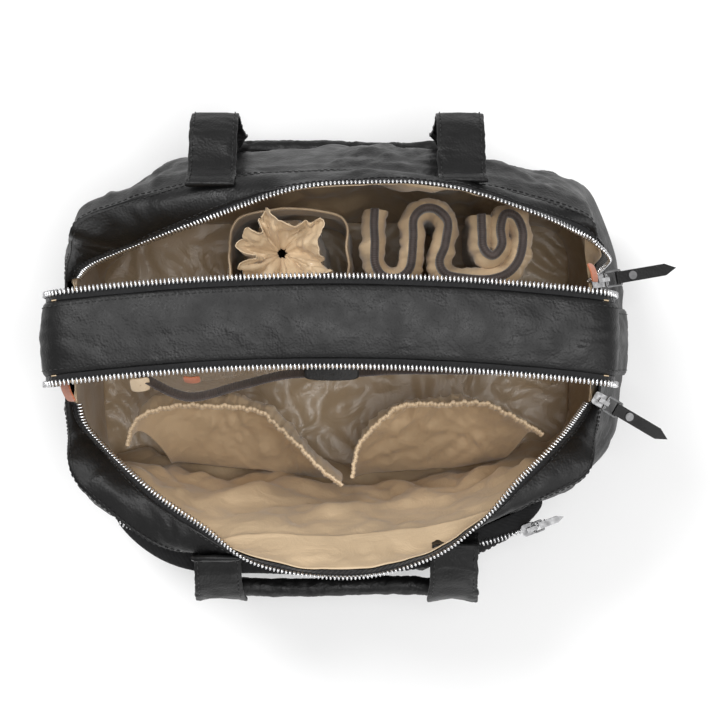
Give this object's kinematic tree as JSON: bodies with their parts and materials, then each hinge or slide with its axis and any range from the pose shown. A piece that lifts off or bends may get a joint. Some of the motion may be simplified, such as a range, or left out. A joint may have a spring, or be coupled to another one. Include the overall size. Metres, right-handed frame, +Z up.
{
  "type": "diaper bag",
  "caption": "Soft black faux-leather diaper bag standing open, with two zipped compartments, tan lining, grab handles, front pocket, changing mat and bottle pouch.",
  "frame": {"origin": "middle of the base, on the surface it stands on", "axes": "+X along the bag towards the zip pulls, +Y to the rear compartment, +Z up"},
  "size_m": [0.4898, 0.369, 0.3],
  "materials": {
    "black_leather": "pebbled, soft sheen",
    "zip_metal": "polished",
    "lining_cloth": "crinkled satin weave",
    "black_webbing": "woven",
    "brown_binding": "woven",
    "foam": "foam core",
    "board": "stiff board",
    "clear_vinyl": "clear, soft"
  },
  "bodies": {
    "bag": {"base_panel": "black_leather", "base_board": "board", "side_wall_left": "black_leather", "side_wall_right": "black_leather", "centre_band": "black_leather", "divider_pad": "foam", "front_divider_lining": "lining_cloth", "rear_divider_lining": "lining_cloth", "front_compartment_lining": "lining_cloth", "rear_compartment_lining": "lining_cloth", "clear_pocket_sheet": "clear_vinyl", "clear_pocket_binding": "brown_binding", "label_patch": "black_webbing", "care_tab": "lining_cloth", "bottle_pocket": "lining_cloth", "front_inner_zip_tape": "black_webbing", "front_inner_zip_teeth": "zip_metal", "rear_inner_zip_tape": "black_webbing", "rear_inner_zip_teeth": "zip_metal", "front_zip_slider": "zip_metal", "rear_zip_slider": "zip_metal"},
    "front_shell": {"front_panel": "black_leather", "front_wall_lining": "lining_cloth", "front_top_strip": "black_leather", "front_outer_zip_tape": "black_webbing", "front_outer_zip_teeth": "zip_metal", "elastic_pocket_left": "lining_cloth", "elastic_pocket_right": "lining_cloth", "pocket_elastic_left": "lining_cloth", "pocket_elastic_right": "lining_cloth", "front_pocket_face": "black_leather", "front_pocket_gusset": "black_leather", "front_pocket_zip_tape": "black_webbing", "front_pocket_zip_teeth": "zip_metal"},
    "rear_shell": {"rear_panel": "black_leather", "rear_wall_lining": "lining_cloth", "rear_top_strip": "black_leather", "rear_outer_zip_tape": "black_webbing", "rear_outer_zip_teeth": "zip_metal"},
    "front_handle": {"front_handle_straps": "black_leather", "front_handle_grip": "black_leather"},
    "rear_handle": {"rear_handle_straps": "black_leather", "rear_handle_grip": "black_leather"},
    "front_zip_pull": {"front_pull_loop": "zip_metal", "front_pull_tab": "black_leather", "front_pull_rivet": "zip_metal"},
    "rear_zip_pull": {"rear_pull_loop": "zip_metal", "rear_pull_tab": "black_leather", "rear_pull_rivet": "zip_metal"},
    "pocket_slider": {"pocket_zip_slider": "zip_metal"},
    "pocket_pull": {"pocket_pull_loop": "zip_metal", "pocket_pull_tab": "zip_metal"},
    "mat": {"changing_mat": "lining_cloth", "changing_mat_binding": "brown_binding"},
    "pouch": {"bottle_pouch": "lining_cloth", "pouch_drawcord": "black_webbing", "pouch_tabs": "black_webbing"}
  },
  "joints": [
    {"name": "front_mouth", "type": "hinge", "parent": "bag", "child": "front_shell", "pos_m": [0, -0.105, 0.0042], "axis": [-1, 0, 0], "range_deg": [0, 15], "deforming": ["front_top_strip", "front_outer_zip_tape", "front_outer_zip_teeth"]},
    {"name": "rear_mouth", "type": "hinge", "parent": "bag", "child": "rear_shell", "pos_m": [0, 0.105, 0.0042], "axis": [1, 0, 0], "range_deg": [0, 14], "deforming": ["rear_top_strip", "rear_outer_zip_tape", "rear_outer_zip_teeth", "changing_mat", "changing_mat_binding", "bottle_pouch", "pouch_drawcord", "pouch_tabs", "bottle_pocket"]},
    {"name": "front_handle_swing", "type": "hinge", "parent": "front_shell", "child": "front_handle", "pos_m": [0, -0.14433, 0.2206], "axis": [-1, 0, 0], "range_deg": [0, 105]},
    {"name": "rear_handle_swing", "type": "hinge", "parent": "rear_shell", "child": "rear_handle", "pos_m": [0, 0.12133, 0.2425], "axis": [1, 0, 0], "range_deg": [0, 105]},
    {"name": "front_pull_swing", "type": "hinge", "parent": "bag", "child": "front_zip_pull", "pos_m": [0.206, -0.0465, 0.1801], "axis": [-0.5, -0.866, 0], "range_deg": [0, 100]},
    {"name": "rear_pull_swing", "type": "hinge", "parent": "bag", "child": "rear_zip_pull", "pos_m": [0.206, 0.0465, 0.1801], "axis": [0.1736, -0.9848, 0], "range_deg": [0, 100]},
    {"name": "pocket_slider_travel", "type": "hinge", "parent": "front_shell", "child": "pocket_slider", "pos_m": [0, 0.25955, 0.1801], "axis": [0, 0, -1], "range_deg": [0, 41.42]},
    {"name": "pocket_pull_swing", "type": "hinge", "parent": "pocket_slider", "child": "pocket_pull", "pos_m": [0.151, -0.13983, 0.1883], "axis": [0.3537, -0.9354, 0], "range_deg": [0, 100]},
    {"name": "mat_lift", "type": "slide", "parent": "bag", "child": "mat", "axis": [0, 0, 1], "range_m": [0, 0.26]},
    {"name": "pouch_lift", "type": "slide", "parent": "bag", "child": "pouch", "axis": [0, 0, 1], "range_m": [0, 0.26]}
  ]
}
